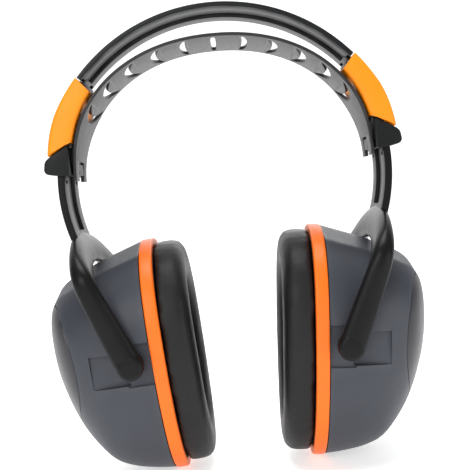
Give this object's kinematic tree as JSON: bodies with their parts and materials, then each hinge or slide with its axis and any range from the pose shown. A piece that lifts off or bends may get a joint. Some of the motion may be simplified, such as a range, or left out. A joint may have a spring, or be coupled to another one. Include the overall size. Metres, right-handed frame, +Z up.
{
  "type": "earmuff hearing protector",
  "caption": "Over-the-head earmuff: channelled headband, slotted comfort strap, sliding forked stems and two tilting cups with foam-filled sealing cushions.",
  "frame": {"origin": "the point under the middle of the strap that rests on the crown of the wearer's head", "axes": "+Z up, +X towards the ear on the right of a viewer who faces the wearer, -Y towards the front"},
  "size_m": [0.165, 0.0936, 0.2047],
  "materials": {
    "charcoal_plastic": "satin-gloss moulded charcoal plastic",
    "grey_flex_plastic": "soft satin grey flexible plastic",
    "orange_plastic": "satin amber-orange plastic",
    "orange_ring_plastic": "satin deep-orange plastic",
    "black_plastic": "satin black plastic",
    "slate_plastic": "fine-grained slate-grey plastic",
    "panel_plastic": "smooth violet-grey plastic",
    "black_vinyl": "soft black vinyl skin",
    "grey_foam": "open-cell dark grey foam",
    "spring_steel": "bright spring steel"
  },
  "bodies": {
    "headband": {"outer_headband": "charcoal_plastic", "inner_strap": "grey_flex_plastic", "left_sleeve": "orange_plastic", "left_slider_housing": "black_plastic", "left_detent_spring": "spring_steel", "right_sleeve": "orange_plastic", "right_slider_housing": "black_plastic", "right_detent_spring": "spring_steel"},
    "left_yoke": {"left_yoke": "black_plastic"},
    "left_cup": {"left_cup_shell": "slate_plastic", "left_cup_panel": "panel_plastic", "left_foam_liner": "grey_foam", "left_trim_ring": "orange_ring_plastic", "left_cushion_plate": "black_plastic", "left_cushion_cover": "black_vinyl", "left_cushion_foam": "grey_foam"},
    "right_yoke": {"right_yoke": "black_plastic"},
    "right_cup": {"right_cup_shell": "slate_plastic", "right_cup_panel": "panel_plastic", "right_foam_liner": "grey_foam", "right_trim_ring": "orange_ring_plastic", "right_cushion_plate": "black_plastic", "right_cushion_cover": "black_vinyl", "right_cushion_foam": "grey_foam"}
  },
  "joints": [
    {"name": "left_stem_slide", "type": "hinge", "parent": "headband", "child": "left_yoke", "pos_m": [0, 0, -0.0597], "axis": [0, -1, 0], "range_deg": [-16, 2.5]},
    {"name": "left_cup_tilt", "type": "hinge", "parent": "left_yoke", "child": "left_cup", "pos_m": [-0.0453, 0, -0.1353], "axis": [0, -1, 0], "range_deg": [-10, 10]},
    {"name": "right_stem_slide", "type": "hinge", "parent": "headband", "child": "right_yoke", "pos_m": [0, 0, -0.0597], "axis": [0, 1, 0], "range_deg": [-16, 2.5]},
    {"name": "right_cup_tilt", "type": "hinge", "parent": "right_yoke", "child": "right_cup", "pos_m": [0.0453, 0, -0.1353], "axis": [0, 1, 0], "range_deg": [-10, 10]}
  ]
}
